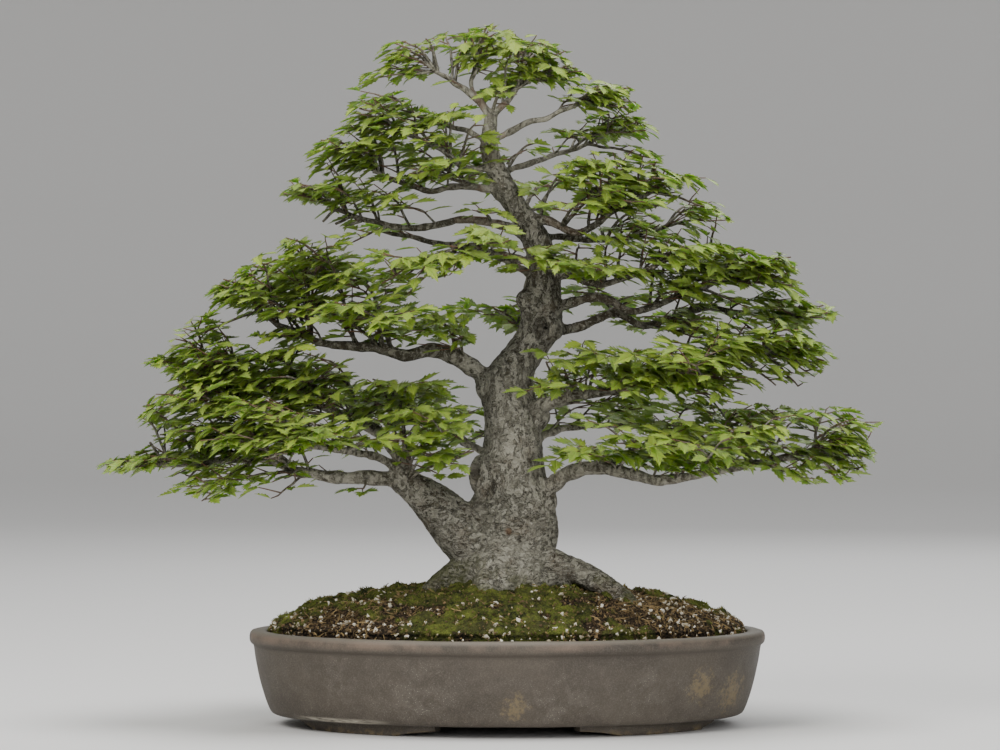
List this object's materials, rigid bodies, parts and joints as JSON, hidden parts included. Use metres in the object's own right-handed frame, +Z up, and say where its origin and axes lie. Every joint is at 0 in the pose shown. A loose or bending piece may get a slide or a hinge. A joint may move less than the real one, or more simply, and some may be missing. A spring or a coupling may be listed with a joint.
{
  "type": "zelkova bonsai",
  "caption": "Informal upright zelkova bonsai with a tapering trunk and layered leafy pads, planted in mounded soil in an unglazed oval pot on bracket feet.",
  "frame": {"origin": "centre of the footprint of the whole object, on the surface that the pot's feet stand on", "axes": "+X along the pot's length to the right, +Y away from the viewer through the pot's depth, +Z up the trunk"},
  "size_m": [0.636, 0.353, 0.5669],
  "materials": {
    "clay": "unglazed, matt, with fine pale specks and ochre stains",
    "soil": "dark granular mix with pale grains, moss and straw",
    "bark": "grey flaking bark with dark short cracks, mossy at the base",
    "foliage": "thin toothed leaves, satin, on reddish-brown twigs",
    "mesh": "plain black plastic mesh"
  },
  "bodies": {
    "root": {"drain_mesh_left": "mesh", "drain_mesh_right": "mesh", "pot": "clay", "soil": "soil", "spray_01": "foliage", "spray_02": "foliage", "spray_03": "foliage", "spray_04": "foliage", "spray_05": "foliage", "spray_06": "foliage", "spray_07": "foliage", "spray_08": "foliage", "spray_09": "foliage", "spray_10": "foliage", "spray_11": "foliage", "spray_12": "foliage", "spray_13": "foliage", "spray_14": "foliage", "spray_15": "foliage", "spray_16": "foliage", "spray_17": "foliage", "spray_18": "foliage", "spray_19": "foliage", "spray_20": "foliage", "spray_21": "foliage", "spray_22": "foliage", "spray_23": "foliage", "spray_24": "foliage", "spray_25": "foliage", "spray_26": "foliage", "spray_27": "foliage", "spray_28": "foliage", "spray_29": "foliage", "spray_30": "foliage", "spray_31": "foliage", "spray_32": "foliage", "spray_33": "foliage", "spray_34": "foliage", "spray_35": "foliage", "spray_36": "foliage", "spray_37": "foliage", "spray_38": "foliage", "spray_39": "foliage", "spray_40": "foliage", "spray_41": "foliage", "spray_42": "foliage", "spray_43": "foliage", "spray_44": "foliage", "spray_45": "foliage", "spray_46": "foliage", "spray_47": "foliage", "spray_48": "foliage", "spray_49": "foliage", "spray_50": "foliage", "spray_51": "foliage", "spray_52": "foliage", "spray_53": "foliage", "spray_54": "foliage", "tree_wood": "bark"}
  },
  "joints": []
}
